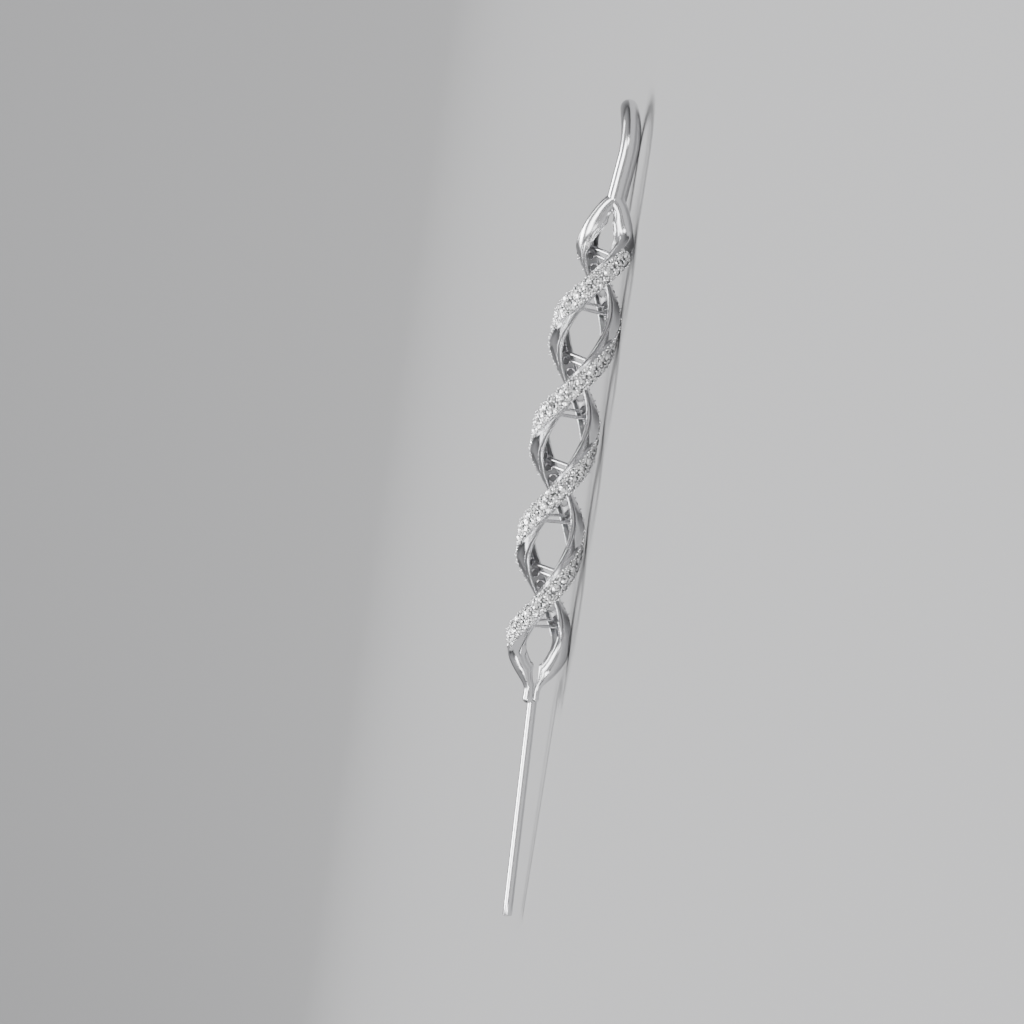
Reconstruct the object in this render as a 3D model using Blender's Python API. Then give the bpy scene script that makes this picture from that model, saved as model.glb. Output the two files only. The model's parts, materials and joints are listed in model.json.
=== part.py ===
"""An ear cuff: a wire hook, two twisted strands with stones on their outer faces, cross bars and a lobe post.

The cuff is drawn as it is worn: +Z runs up along the ear, -Y is its front and +X its right side seen from the
front, with the lower tip at the origin. An empty then turns the whole cuff onto its right side, as it lies on a
table, with the middle of its box at the origin.
"""

import math

import bmesh
import bpy
from mathutils import Matrix, Vector

MM = 0.001

# Double helix
first_lobe_height = 5.07 * MM
half_pitch = 9.68 * MM
lobe_gaps = 4
metal_radius = 2.8 * MM
bow_left = 0.92 * MM
bow_skew = 0.3
bow_sharpness = 1.5
top_narrowing = 5.5 * MM
top_merge = 2.5 * MM
top_sharpness = 0.75
bottom_merge = 3.9 * MM
bottom_taper = 2.3 * MM
opening_bottom = 3.65 * MM
opening_top_gap = 1.35 * MM
opening_bottom_length = 2.85 * MM
opening_top_length = 3.5 * MM
opening_bottom_power = 0.6
opening_top_power = 0.75
phase_ease = 0.12

# Strand section
strand_width = 1.8 * MM
top_width = 1.45 * MM
top_widening = 2.5 * MM
strand_depth = 1.3 * MM
rim_width = 0.16 * MM
recess_depth = 0.28 * MM
rail_width = 0.38 * MM
groove_depth = 0.55 * MM
wall_slope = 0.05 * MM
top_end_radius = 0.72 * MM
left_end_radius = 0.48 * MM
right_end_radius = 0.28 * MM
web_overlap = 0.05 * MM
station_angle = math.radians(10)

# Stones
stone_diameter = 0.76 * MM
stone_spacing = 1.15 * MM
stone_crown = 0.3 * MM
stone_sunk = 0.08 * MM
stone_sides = 8
table_share = 0.56
band_gap = 0.1 * MM
right_band_start = 6.9 * MM
right_band_end = 42.3 * MM
left_band_start = 5.4 * MM
left_band_end = 41.7 * MM
band_end_margin = 0.5 * MM

# Hook over the ear
wire_radius = 0.76 * MM
hook_rise = 3.8 * MM
hook_bend_radius = 4.38 * MM
hook_side_lean = math.radians(5.4)
hook_sway = 1.05 * MM
hook_leg_length = 5.0 * MM
hook_leg_lean = math.radians(4)
hook_steps = 18
wire_overlap = 1.2 * MM
wire_start_share = 0.5
wire_full_height = 0.4 * MM

# Cross bars
bar_radius = 0.17 * MM
bar_distance = 2.7 * MM
bar_spacing = 0.58 * MM
bar_tilt = math.radians(5)
bar_seat = 0.12 * MM

# Lower end and lobe post
left_lug_radius = 0.5 * MM
right_lug_radius = 0.3 * MM
lug_offset = 0.35 * MM
lug_height = 0.5 * MM
post_radius = 0.45 * MM
post_setback = 5.0 * MM
post_drop = 21.3 * MM
post_bend_radius = 1.3 * MM
post_lean = math.radians(2.7)
post_start_height = 0.75 * MM
post_shift = 0.17 * MM

last_lobe_height = first_lobe_height + lobe_gaps * half_pitch
body_height = last_lobe_height + top_merge
strand_radius = metal_radius - strand_depth / 2


def clear_scene():
    """Remove whatever the file opened with."""
    for old in list(bpy.data.objects):
        bpy.data.objects.remove(old, do_unlink=True)


def principled(name, colour, roughness, metallic, transmission=0.0):
    """A plain finish for one piece."""
    material = bpy.data.materials.new(name)
    material.use_nodes = True
    shader = material.node_tree.nodes["Principled BSDF"]
    shader.inputs["Base Color"].default_value = (*colour, 1)
    shader.inputs["Roughness"].default_value = roughness
    shader.inputs["Metallic"].default_value = metallic
    shader.inputs["Transmission Weight"].default_value = transmission
    return material


def add_object(name, mesh, collection, material=None):
    """Put a mesh in the scene as one named piece."""
    piece = bpy.data.objects.new(name, mesh)
    collection.objects.link(piece)
    if material:
        mesh.materials.append(material)
    return piece


def mesh_from(name, bm, smooth_angle=35):
    """Turn a bmesh into a mesh whose faces point outwards and whose round faces look round."""
    bmesh.ops.recalc_face_normals(bm, faces=bm.faces)
    mesh = bpy.data.meshes.new(name)
    bm.to_mesh(mesh)
    bm.free()
    mesh.shade_smooth()
    mesh.set_sharp_from_angle(angle=math.radians(smooth_angle))
    return mesh


def smooth_step(share):
    """Ease from 0 to 1 with no slope at either end."""
    share = min(max(share, 0), 1)
    return share * share * (3 - 2 * share)


def axis_point(height):
    """The helix axis: a shallow bow towards the left, strongest above the middle."""
    share = 2 * height / body_height - 1
    bow = max(1 - share * share, 0) ** bow_sharpness * (1 + bow_skew * share)
    return Vector((-bow_left * bow, 0, height))


def strand_phase(height):
    """Turning angle of the first strand. It stops turning softly at the first and the last lobe."""
    turns = (last_lobe_height - height) / half_pitch
    turns = (turns + math.hypot(turns, phase_ease)) / 2
    rest = lobe_gaps - turns
    return math.pi * (lobe_gaps - (rest + math.hypot(rest, phase_ease)) / 2)


def centre_radius(height):
    """Distance of a strand's centre line from the helix axis, closing at both ends."""
    top = min(max((body_height - height) / top_narrowing, 0), 1)
    bottom = smooth_step((height - first_lobe_height + bottom_merge) / bottom_merge)
    closing = math.sin(math.pi / 2 * top) ** top_sharpness
    return strand_radius * closing * (lug_share() + (1 - lug_share()) * bottom)


def lug_share():
    """Share of the strand's radius that is left where the two lower ends lie side by side."""
    return lug_offset / strand_radius


def radial(height, turn):
    """Direction from the helix axis to a strand, square to the axis."""
    step = 0.01 * MM
    along = (axis_point(height + step) - axis_point(height - step)).normalized()
    right = Vector((1, 0, 0))
    right = (right - along * right.dot(along)).normalized()
    back = along.cross(right)
    angle = strand_phase(height) + turn
    return right * math.cos(angle) - back * math.sin(angle)


def strand_centre(height, turn):
    return axis_point(height) + radial(height, turn) * centre_radius(height)


def strand_frame(height, turn):
    """Centre of a strand, with its outward, sideways and lengthwise directions."""
    step = 0.02 * MM
    centre = strand_centre(height, turn)
    along = (strand_centre(height + step, turn) - strand_centre(height - step, turn)).normalized()
    outward = radial(height, turn)
    outward = (outward - along * outward.dot(along)).normalized()
    return centre, outward, along.cross(outward), along


def station_heights(low, high):
    """Heights along a strand: one for each step of the turn, closer together where the ends merge."""
    count = max(2, math.ceil(math.pi * (high - low) / half_pitch / station_angle))
    return [low + (high - low) * i / count for i in range(count + 1)]


def band_ends(turn):
    """Heights between which a strand carries stones: the first strand starts on the right, the second on the left."""
    if turn == 0:
        return right_band_start, right_band_end
    return left_band_start, left_band_end


def band_share(height, turn):
    """1 where the strand carries stones, 0 on its plain ends."""
    start, end = band_ends(turn)
    fade = 2 * band_end_margin
    low = smooth_step((height - start + fade) / fade)
    high = smooth_step((end + fade - height) / fade)
    return low * high


def plain_share(height):
    """0 along the twisted part, growing to 1 where a strand becomes a plain round end."""
    top = smooth_step((height - last_lobe_height) / top_merge)
    bottom = smooth_step((first_lobe_height - bottom_merge + bottom_taper - height) / bottom_taper)
    return max(top, bottom)


def opening_share(height):
    """0 where a web of metal joins the two strands, growing to 1 where the opening between them is at its widest."""
    top = min(max((body_height - opening_top_gap - height) / opening_top_length, 0), 1)
    bottom = min(max((height - opening_bottom) / opening_bottom_length, 0), 1)
    return min(top**opening_top_power, bottom**opening_bottom_power)


def half_width(height):
    """Half the width of a strand: it narrows towards the fork, where it becomes a wire."""
    share = smooth_step((last_lobe_height - height) / top_widening)
    return (top_width + (strand_width - top_width) * share) / 2


def end_radius(height, turn):
    """Radius of the plain round end that a strand grows into: the right one is thinner at the lower tip."""
    if height > first_lobe_height:
        return top_end_radius
    return right_end_radius if turn == 0 else left_end_radius


def strand_section(height, turn):
    """Outline of a strand as (outward, sideways) pairs: a channel that opens inwards, with a recess outside."""
    deep, wide = strand_depth / 2, half_width(height)
    plain, opening = plain_share(height), opening_share(height)
    recess = recess_depth * band_share(height, turn)
    groove = groove_depth * (1 - plain) * smooth_step(2 * opening)
    rim, rail = wide - rim_width, wide - rail_width
    half_opening = (strand_radius - deep) * opening
    inner_deep = max(deep, centre_radius(height) + web_overlap * (1 - opening) - half_opening)
    round_radius = end_radius(height, turn)
    half = [
        (deep, wide, 50),
        (deep, rim, 30),
        (deep - recess, rim - wall_slope, 12),
    ]
    inner = [
        (-inner_deep + groove, rail - wall_slope, 168),
        (-inner_deep, rail, 150),
        (-inner_deep, wide, 130),
    ]
    left = half[::-1] + inner[::-1]
    right = [(out, -side, -degrees) for out, side, degrees in reversed(left)]
    section = []
    for out, side, degrees in left + right:
        angle = math.radians(degrees)
        round_out = round_radius * math.cos(angle)
        round_side = round_radius * math.sin(angle)
        section.append((out + (round_out - out) * plain, side + (round_side - side) * plain))
    return section


def loft(bm, sections):
    """Join rings of points into one closed skin."""
    rings = [[bm.verts.new(point) for point in ring] for ring in sections]
    for lower, upper in zip(rings, rings[1:]):
        for i in range(len(lower)):
            j = (i + 1) % len(lower)
            bm.faces.new((lower[i], lower[j], upper[j], upper[i]))
    bm.faces.new(rings[0][::-1])
    bm.faces.new(rings[-1])


def placed_section(height, turn, section):
    centre, outward, sideways, _ = strand_frame(height, turn)
    return [centre + outward * out + sideways * side for out, side in section]


def strand_mesh(name, turn):
    """One channel strand, from the lower end to where it runs into the hook wire."""
    bm = bmesh.new()
    heights = station_heights(lug_height, body_height)
    loft(bm, [placed_section(height, turn, strand_section(height, turn)) for height in heights])
    return mesh_from(name, bm)


def band_levels():
    """Floor and face of a stone band, measured outwards from the strand's centre line."""
    floor = strand_depth / 2 - recess_depth + band_gap
    return floor, strand_depth / 2


def band_mesh(name, turn):
    """The thin setting strip that lies in a strand's recess."""
    floor, face = band_levels()
    rings = []
    for height in station_heights(*band_ends(turn)):
        side = half_width(height) - rim_width - wall_slope - band_gap
        section = [(floor, side), (floor, -side), (face, -side), (face, side)]
        rings.append(placed_section(height, turn, section))
    bm = bmesh.new()
    loft(bm, rings)
    return mesh_from(name, bm)


def stone_places(turn):
    """Evenly spaced seats along the face of a band, as (point, outward, sideways, along)."""
    face = band_levels()[1]
    start, end = band_ends(turn)
    low, high = start + band_end_margin, end - band_end_margin
    steps = 40 * lobe_gaps
    heights = [low + (high - low) * i / steps for i in range(steps + 1)]
    points = [placed_section(height, turn, [(face, 0)])[0] for height in heights]
    runs = [0]
    for first, second in zip(points, points[1:]):
        runs.append(runs[-1] + (second - first).length)
    count = int(runs[-1] / stone_spacing)
    places = []
    for i in range(count + 1):
        target = runs[-1] * i / count
        k = next(n for n in range(1, len(runs)) if runs[n] >= target - 1e-12)
        share = (target - runs[k - 1]) / (runs[k] - runs[k - 1])
        height = heights[k - 1] + (heights[k] - heights[k - 1]) * share
        centre, outward, sideways, along = strand_frame(height, turn)
        places.append((centre + outward * face, outward, sideways, along))
    return places


def stones_mesh(name, turn):
    """The row of cut stones of one band: eight crown facets and a table each."""
    bm = bmesh.new()
    depth = stone_crown + stone_sunk
    for point, outward, sideways, along in stone_places(turn):
        middle = point + outward * (stone_crown - stone_sunk) / 2
        seat = Matrix((along, sideways, outward)).transposed().to_4x4()
        if seat.determinant() < 0:
            seat = Matrix((sideways, along, outward)).transposed().to_4x4()
        bmesh.ops.create_cone(
            bm,
            cap_ends=True,
            segments=stone_sides,
            radius1=stone_diameter / 2,
            radius2=stone_diameter / 2 * table_share,
            depth=depth,
            matrix=Matrix.Translation(middle) @ seat,
        )
    return mesh_from(name, bm, smooth_angle=10)


def wire_mesh(name, route, radius, resolution, start_share=1.0):
    """A round wire along a route, with flat ends, as a mesh. Its first point may be a thinner share of it."""
    curve = bpy.data.curves.new(name, "CURVE")
    curve.dimensions = "3D"
    curve.bevel_depth = radius
    curve.bevel_resolution = resolution
    curve.use_fill_caps = True
    spline = curve.splines.new("POLY")
    spline.points.add(len(route) - 1)
    for point, place in zip(spline.points, route):
        point.co = (*place, 1)
    spline.points[0].radius = start_share
    wire = bpy.data.objects.new(name, curve)
    bpy.context.scene.collection.objects.link(wire)
    graph = bpy.context.evaluated_depsgraph_get()
    mesh = bpy.data.meshes.new_from_object(wire.evaluated_get(graph))
    bm = bmesh.new()
    bm.from_mesh(mesh)
    bmesh.ops.remove_doubles(bm, verts=bm.verts, dist=1e-7)
    bpy.data.objects.remove(wire)
    bpy.data.curves.remove(curve)
    bpy.data.meshes.remove(mesh)
    return mesh_from(name, bm)


def arc_points(centre, start, end, angle, steps):
    """Points from centre + start towards centre + end, turning through an angle."""
    points = []
    for i in range(steps + 1):
        turn = angle * i / steps
        points.append(centre + start * math.cos(turn) + end * math.sin(turn))
    return points


def hook_route():
    """Up from the fork, leaning to the right, over the ear with a sway to the left, and down behind it."""
    back = Vector((0, 1, 0))
    lean = Vector((math.tan(hook_side_lean), 0, 1))
    crown = Vector((0, 0, body_height))
    centre = crown + lean * hook_rise + back * hook_bend_radius
    sweep = math.pi + hook_leg_lean
    bend = arc_points(centre, -back * hook_bend_radius, lean * hook_bend_radius, sweep, hook_steps)
    for i, place in enumerate(bend):
        place.x -= hook_sway * math.sin(sweep * i / hook_steps) ** 2
    leg = (bend[-1] - bend[-2]).normalized() * hook_leg_length
    start = [crown - lean * wire_overlap, crown + lean * wire_full_height]
    return start + bend + [bend[-1] + leg]


def post_route():
    """Back through the lobe and down behind it."""
    up, back = Vector((0, 0, 1)), Vector((0, 1, 0))
    down = Vector((math.sin(post_lean), 0, -math.cos(post_lean)))
    start = Vector((-post_shift, 0, post_start_height))
    corner = start + back * (post_setback - post_bend_radius)
    elbow, out = corner + down * post_bend_radius, back * post_bend_radius
    bend = arc_points(elbow, -down * post_bend_radius, out, math.pi / 2, 6)
    drop = post_drop + post_start_height - post_bend_radius
    end = bend[-1] + down * drop / up.dot(-down)
    return [start] + bend + [end]


def bar_mesh(name, height):
    """A thin bar straight across the opening from one strand to the other."""
    reach = centre_radius(height) - strand_depth / 2 + groove_depth + bar_seat
    across = radial(height, 0)
    across.z -= math.tan(bar_tilt) * across.x
    across.normalize()
    turn = across.to_track_quat("Z", "Y").to_matrix().to_4x4()
    bm = bmesh.new()
    bmesh.ops.create_cone(
        bm,
        cap_ends=True,
        segments=8,
        radius1=bar_radius,
        radius2=bar_radius,
        depth=2 * reach,
        matrix=Matrix.Translation(axis_point(height)) @ turn,
    )
    return mesh_from(name, bm)


def bar_heights():
    """Two bars above and two below each place where the strands cross."""
    heights = []
    for i in range(lobe_gaps):
        crossing = first_lobe_height + (i + 0.5) * half_pitch
        for side in (-1, 1):
            heights.append(crossing + side * bar_distance)
            heights.append(crossing + side * (bar_distance - bar_spacing))
    return heights


def lug_mesh(name, turn, radius):
    """The rounded lower end of a strand."""
    bm = bmesh.new()
    bmesh.ops.create_uvsphere(bm, u_segments=12, v_segments=8, radius=radius)
    bmesh.ops.translate(bm, verts=bm.verts, vec=strand_centre(lug_height, turn))
    return mesh_from(name, bm)


def join(piece, helpers, name):
    """Unite a piece with the shapes that are soldered or cast onto it."""
    solder = piece.modifiers.new(name, "BOOLEAN")
    solder.operation = "UNION"
    solder.solver = "EXACT"
    if isinstance(helpers, bpy.types.Collection):
        solder.operand_type = "COLLECTION"
        solder.collection = helpers
    else:
        solder.object = helpers


def as_helper(piece):
    """Keep a shape out of the finished cuff: only a union reads it."""
    piece.hide_render = True
    piece.display_type = "WIRE"


def volume_and_moment(mesh):
    """Volume of a closed mesh, and its volume times its centre."""
    mesh.calc_loop_triangles()
    volume, moment = 0.0, Vector((0, 0, 0))
    for triangle in mesh.loop_triangles:
        a, b, c = (mesh.vertices[i].co for i in triangle.vertices)
        part = a.dot(b.cross(c)) / 6
        volume += part
        moment += (a + b + c) * (part / 4)
    return volume, moment


def side_rest(meshes):
    """The turn that lays the cuff on its right side, on the flat that its own shape gives, and its place."""
    hull = bmesh.new()
    for mesh in meshes:
        for vertex in mesh.vertices:
            hull.verts.new(vertex.co)
    skin = bmesh.ops.convex_hull(hull, input=hull.verts)
    bmesh.ops.delete(hull, geom=list(set(skin["geom_interior"] + skin["geom_unused"])), context="VERTS")
    hull.normal_update()
    parts = [volume_and_moment(mesh) for mesh in meshes]
    balance = sum((moment for _, moment in parts), Vector()) / sum(volume for volume, _ in parts)
    right_side = [face for face in hull.faces if face.normal.x > 0.8]
    floor = min(right_side, key=lambda face: (face.verts[0].co - balance).dot(face.normal))
    down = floor.normal.copy()
    along = (Vector((0, 0, 1)) - down * down.z).normalized()
    turn = Matrix((along, (-down).cross(along), -down)).to_4x4()
    corners = [turn @ vertex.co for vertex in hull.verts]
    hull.free()
    low = Vector([min(corner[i] for corner in corners) for i in range(3)])
    high = Vector([max(corner[i] for corner in corners) for i in range(3)])
    return Matrix.Translation((-(low.x + high.x) / 2, -(low.y + high.y) / 2, -low.z)) @ turn


def build():
    clear_scene()
    cuff = bpy.data.collections.new("ear_cuff")
    soldered = bpy.data.collections.new("soldered_shapes")
    stones = bpy.data.collections.new("stones_to_set")
    for collection in (cuff, soldered, stones):
        bpy.context.scene.collection.children.link(collection)
    white_metal = principled("white_metal", (0.78, 0.78, 0.8), 0.12, 1.0)
    setting = principled("stone_setting", (0.82, 0.84, 0.88), 0.08, 0.6, 0.2)

    frame = add_object("cuff_frame", strand_mesh("strand_a", 0), cuff, white_metal)
    shapes = [strand_mesh("strand_b", math.pi)]
    shapes.append(lug_mesh("lug_left", math.pi, left_lug_radius))
    shapes.append(lug_mesh("lug_right", 0, right_lug_radius))
    shapes.append(wire_mesh("hook_wire", hook_route(), wire_radius, 4, wire_start_share))
    shapes.append(wire_mesh("lobe_post", post_route(), post_radius, 3))
    for i, height in enumerate(bar_heights()):
        shapes.append(bar_mesh(f"bar_{i + 1:02d}", height))
    for mesh in shapes:
        as_helper(add_object(mesh.name, mesh, soldered))
    join(frame, soldered, "solder")

    bands, sets = [], []
    for letter, turn in (("a", 0), ("b", math.pi)):
        band = add_object(f"pave_band_{letter}", band_mesh(f"band_{letter}", turn), cuff, setting)
        row = add_object(f"stones_{letter}", stones_mesh(f"stones_{letter}", turn), stones)
        as_helper(row)
        join(band, row, "set_stones")
        bands.append(band)
        sets.append(row)

    rest = bpy.data.objects.new("rest_pose", None)
    cuff.objects.link(rest)
    rest.matrix_world = side_rest([frame.data] + shapes + [piece.data for piece in bands + sets])
    for piece in [frame] + list(soldered.objects) + bands + sets:
        piece.parent = rest


build()
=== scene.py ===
# %% [markdown]
# # An ear cuff of two twisted strands
#
# A jeweller makes this piece from white metal: a wire that hooks over the ear, forks into two
# strands that twist round each other, and ends in a straight post that goes through the lobe.
# Both strands carry three rows of small clear stones. This notebook dresses the finished
# construction model: every cell makes one piece or one finish.

import json
import math

import bmesh
import bpy
from mathutils import Matrix, Vector


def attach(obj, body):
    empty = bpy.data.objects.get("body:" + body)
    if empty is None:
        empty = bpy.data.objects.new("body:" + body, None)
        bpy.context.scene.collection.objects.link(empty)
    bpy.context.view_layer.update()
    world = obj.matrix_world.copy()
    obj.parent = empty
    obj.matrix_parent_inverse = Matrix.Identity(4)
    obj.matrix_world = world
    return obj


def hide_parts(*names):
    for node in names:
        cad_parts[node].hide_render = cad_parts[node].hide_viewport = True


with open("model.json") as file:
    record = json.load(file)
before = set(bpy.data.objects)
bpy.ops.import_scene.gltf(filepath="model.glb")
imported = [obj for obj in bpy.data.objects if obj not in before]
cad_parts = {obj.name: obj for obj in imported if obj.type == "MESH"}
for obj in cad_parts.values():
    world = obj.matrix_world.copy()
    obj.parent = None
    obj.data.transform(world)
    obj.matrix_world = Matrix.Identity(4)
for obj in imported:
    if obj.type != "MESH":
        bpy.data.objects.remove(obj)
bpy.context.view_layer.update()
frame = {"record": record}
MM = 0.001

# %% [markdown]
# ## Sizes
#
# The cuff is drawn upright, as it is worn: Z runs up along it, -Y is the front and X the right
# side as it is seen from the front. These are the sizes that the metal was built to, so every piece
# below lands on it. Only the lengths of the two end openings and the lean of the strands' faces
# are drawn a little closer to the photograph.

# %% Sizes of the twisted body
FIRST_LOBE, HALF_PITCH, LOBE_GAPS = 5.07 * MM, 9.68 * MM, 4
METAL_RADIUS = 2.8 * MM
BOW_LEFT, BOW_SKEW, BOW_SHARPNESS = 0.92 * MM, 0.3, 1.5
TOP_NARROWING, TOP_MERGE, TOP_SHARPNESS = 5.5 * MM, 2.5 * MM, 0.75
BOTTOM_MERGE, BOTTOM_TAPER = 3.9 * MM, 2.3 * MM
OPENING_BOTTOM, OPENING_BOTTOM_LENGTH, OPENING_BOTTOM_POWER = 3.0 * MM, 3.3 * MM, 0.6
OPENING_TOP_GAP, OPENING_TOP_LENGTH, OPENING_TOP_POWER = 1.6 * MM, 3.5 * MM, 0.75
WEB_OVERLAP, PHASE_EASE, FACE_FLATNESS = 0.05 * MM, 0.12, 0.78
STRAND_WIDTH, STRAND_DEPTH, TOP_WIDTH, TOP_WIDENING = 1.8 * MM, 1.3 * MM, 1.45 * MM, 2.5 * MM
TOP_END_RADIUS, LEFT_END_RADIUS, RIGHT_END_RADIUS = 0.72 * MM, 0.48 * MM, 0.28 * MM
LUG_OFFSET, LUG_HEIGHT, LUG_RADII = 0.35 * MM, 0.5 * MM, (0.3 * MM, 0.5 * MM)
BAND_ENDS = ((6.9 * MM, 42.3 * MM), (5.4 * MM, 41.7 * MM))
BAND_MARGIN = 0.5 * MM

LAST_LOBE = FIRST_LOBE + LOBE_GAPS * HALF_PITCH
BODY_HEIGHT = LAST_LOBE + TOP_MERGE
STRAND_RADIUS = METAL_RADIUS - STRAND_DEPTH / 2
LUG_SHARE = LUG_OFFSET / STRAND_RADIUS
DEEP = STRAND_DEPTH / 2
STRANDS = (("a", 0), ("b", math.pi))
print("height of the twisted body in mm:", round(BODY_HEIGHT / MM, 2))

# %% Sizes of the wires and bars
WIRE_RADIUS, WIRE_OVERLAP, WIRE_START_SHARE, WIRE_FULL = 0.76 * MM, 1.2 * MM, 0.5, 0.4 * MM
HOOK_RISE, HOOK_BEND, HOOK_LEG = 3.8 * MM, 4.38 * MM, 5.0 * MM
HOOK_SIDE_LEAN, HOOK_LEG_LEAN, HOOK_SWAY = math.radians(5.4), math.radians(4), 1.05 * MM
POST_RADIUS, POST_SETBACK, POST_DROP, POST_BEND = 0.45 * MM, 5.0 * MM, 21.3 * MM, 1.3 * MM
POST_LEAN, POST_START, POST_SHIFT = math.radians(2.7), 0.75 * MM, 0.17 * MM
BAR_RADIUS, BAR_DISTANCE, BAR_SPACING, BAR_SEAT = 0.17 * MM, 2.7 * MM, 0.58 * MM, 0.12 * MM
BAR_TILT, INNER_BAR_SHARE = math.radians(5), 0.8
print("wire and post in mm:", round(2 * WIRE_RADIUS / MM, 2), round(2 * POST_RADIUS / MM, 2))

# %% [markdown]
# ## The rule of the helix
#
# Each strand is a circle's walk round the axis: the angle grows evenly with height, one half
# turn for each lobe, and comes softly to rest at both ends, where the strands close into one
# wire. The axis itself bows a little. A Screw modifier could make the plain twist, but not these
# soft ends, so the rule is written as a few functions, and all that sits on a strand asks them
# for its place.


# %% The helix as functions
AXIS_STEP, STRAND_STEP = 0.01 * MM, 0.02 * MM
RECESS_FADE, CHANNEL_FADE, LOWER_FADE = 1.0 * MM, 1.8 * MM, 1.3 * MM


def smooth_step(share):
    share = min(max(share, 0), 1)
    return share * share * (3 - 2 * share)


def axis_point(height):
    share = 2 * height / BODY_HEIGHT - 1
    bow = max(1 - share * share, 0) ** BOW_SHARPNESS * (1 + BOW_SKEW * share)
    return Vector((-BOW_LEFT * bow, 0, height))


def strand_phase(height):
    turns = (LAST_LOBE - height) / HALF_PITCH
    turns = (turns + math.hypot(turns, PHASE_EASE)) / 2
    rest = LOBE_GAPS - turns
    return math.pi * (LOBE_GAPS - (rest + math.hypot(rest, PHASE_EASE)) / 2)


def centre_radius(height):
    top = min(max((BODY_HEIGHT - height) / TOP_NARROWING, 0), 1)
    bottom = smooth_step((height - FIRST_LOBE + BOTTOM_MERGE) / BOTTOM_MERGE)
    closing = math.sin(math.pi / 2 * top) ** TOP_SHARPNESS
    return STRAND_RADIUS * closing * (LUG_SHARE + (1 - LUG_SHARE) * bottom)


def radial(height, turn, flatness=1.0):
    """Direction away from the axis. Below 1 the flatness makes it turn as on an oval."""
    along = (axis_point(height + AXIS_STEP) - axis_point(height - AXIS_STEP)).normalized()
    right = Vector((1, 0, 0))
    right = (right - along * right.dot(along)).normalized()
    back = along.cross(right)
    angle = strand_phase(height) + turn
    return (right * (flatness * math.cos(angle)) - back * math.sin(angle)).normalized()


def strand_centre(height, turn):
    return axis_point(height) + radial(height, turn) * centre_radius(height)


def strand_frame(height, turn):
    """Centre of a strand with its outward, sideways and lengthwise directions."""
    above, below = (strand_centre(height + step, turn) for step in (STRAND_STEP, -STRAND_STEP))
    along = (above - below).normalized()
    outward = radial(height, turn, FACE_FLATNESS)
    outward = (outward - along * outward.dot(along)).normalized()
    return strand_centre(height, turn), outward, along.cross(outward), along


def band_ends(turn):
    return BAND_ENDS[0] if turn == 0 else BAND_ENDS[1]


def band_share(height, turn, fade):
    """1 under a band of stones, fading to 0 beyond both of its ends, sooner at the lower one."""
    start, end = band_ends(turn)
    lower_fade = min(fade, LOWER_FADE)
    lower = smooth_step((height - start + lower_fade) / lower_fade)
    return lower * smooth_step((end + fade - height) / fade)


def plain_share(height):
    """0 along the twist, growing to 1 where a strand becomes a plain round end."""
    top = smooth_step((height - LAST_LOBE) / TOP_MERGE)
    bottom = smooth_step((FIRST_LOBE - BOTTOM_MERGE + BOTTOM_TAPER - height) / BOTTOM_TAPER)
    return max(top, bottom)


def opening_share(height):
    """0 where a web of metal joins the strands, growing to 1 where they are furthest apart."""
    top = min(max((BODY_HEIGHT - OPENING_TOP_GAP - height) / OPENING_TOP_LENGTH, 0), 1)
    bottom = min(max((height - OPENING_BOTTOM) / OPENING_BOTTOM_LENGTH, 0), 1)
    return min(top**OPENING_TOP_POWER, bottom**OPENING_BOTTOM_POWER)


def inner_reach(height):
    """How far a strand reaches from its centre towards the axis."""
    opening = opening_share(height)
    half_opening = (STRAND_RADIUS - DEEP) * opening
    return max(DEEP, centre_radius(height) + WEB_OVERLAP * (1 - opening) - half_opening)


def half_width(height):
    share = smooth_step((LAST_LOBE - height) / TOP_WIDENING)
    return (TOP_WIDTH + (STRAND_WIDTH - TOP_WIDTH) * share) / 2


print("half turns over the twist:", round(strand_phase(0) / math.pi, 2))

# %% [markdown]
# ## From upright to lying
#
# The model rests on its right side. Two mounts in its record, at the post's end and at the
# hook's end, say where those two points went, and three directions through them give the whole
# turn. Reading the turn from the record keeps the dress on the model if it is ever laid down in
# another way. So the routes of the two wires come first.


# %% Routes of the two wires
BACK = Vector((0, 1, 0))
HOOK_STEPS = 18
POST_STEPS = 8


def arc_points(centre, start, end, angle, steps):
    turns = [angle * i / steps for i in range(steps + 1)]
    return [centre + start * math.cos(turn) + end * math.sin(turn) for turn in turns]


def hook_route(steps):
    lean = Vector((math.tan(HOOK_SIDE_LEAN), 0, 1))
    crown = Vector((0, 0, BODY_HEIGHT))
    centre = crown + lean * HOOK_RISE + BACK * HOOK_BEND
    sweep = math.pi + HOOK_LEG_LEAN
    bend = arc_points(centre, -BACK * HOOK_BEND, lean * HOOK_BEND, sweep, steps)
    for i, place in enumerate(bend):
        place.x -= HOOK_SWAY * math.sin(sweep * i / steps) ** 2
    return [crown - lean * WIRE_OVERLAP, crown + lean * WIRE_FULL] + bend


def post_route(steps):
    down = Vector((math.sin(POST_LEAN), 0, -math.cos(POST_LEAN)))
    start = Vector((-POST_SHIFT, 0, POST_START))
    centre = start + BACK * (POST_SETBACK - POST_BEND) + down * POST_BEND
    bend = arc_points(centre, -down * POST_BEND, BACK * POST_BEND, math.pi / 2, steps)
    drop = POST_DROP + POST_START - POST_BEND
    return [start] + bend + [bend[-1] + down * drop / math.cos(POST_LEAN)]


built_hook = hook_route(HOOK_STEPS)
hook_end = built_hook[-1] + (built_hook[-1] - built_hook[-2]).normalized() * HOOK_LEG

# %% The turn from worn to resting
mounts = {mount["name"]: mount for mount in frame["record"]["mounts"]}


def three_directions(first, second, arm):
    along = (second - first).normalized()
    across = along.cross(arm).normalized()
    return Matrix((along, across, along.cross(across))).transposed()


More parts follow.
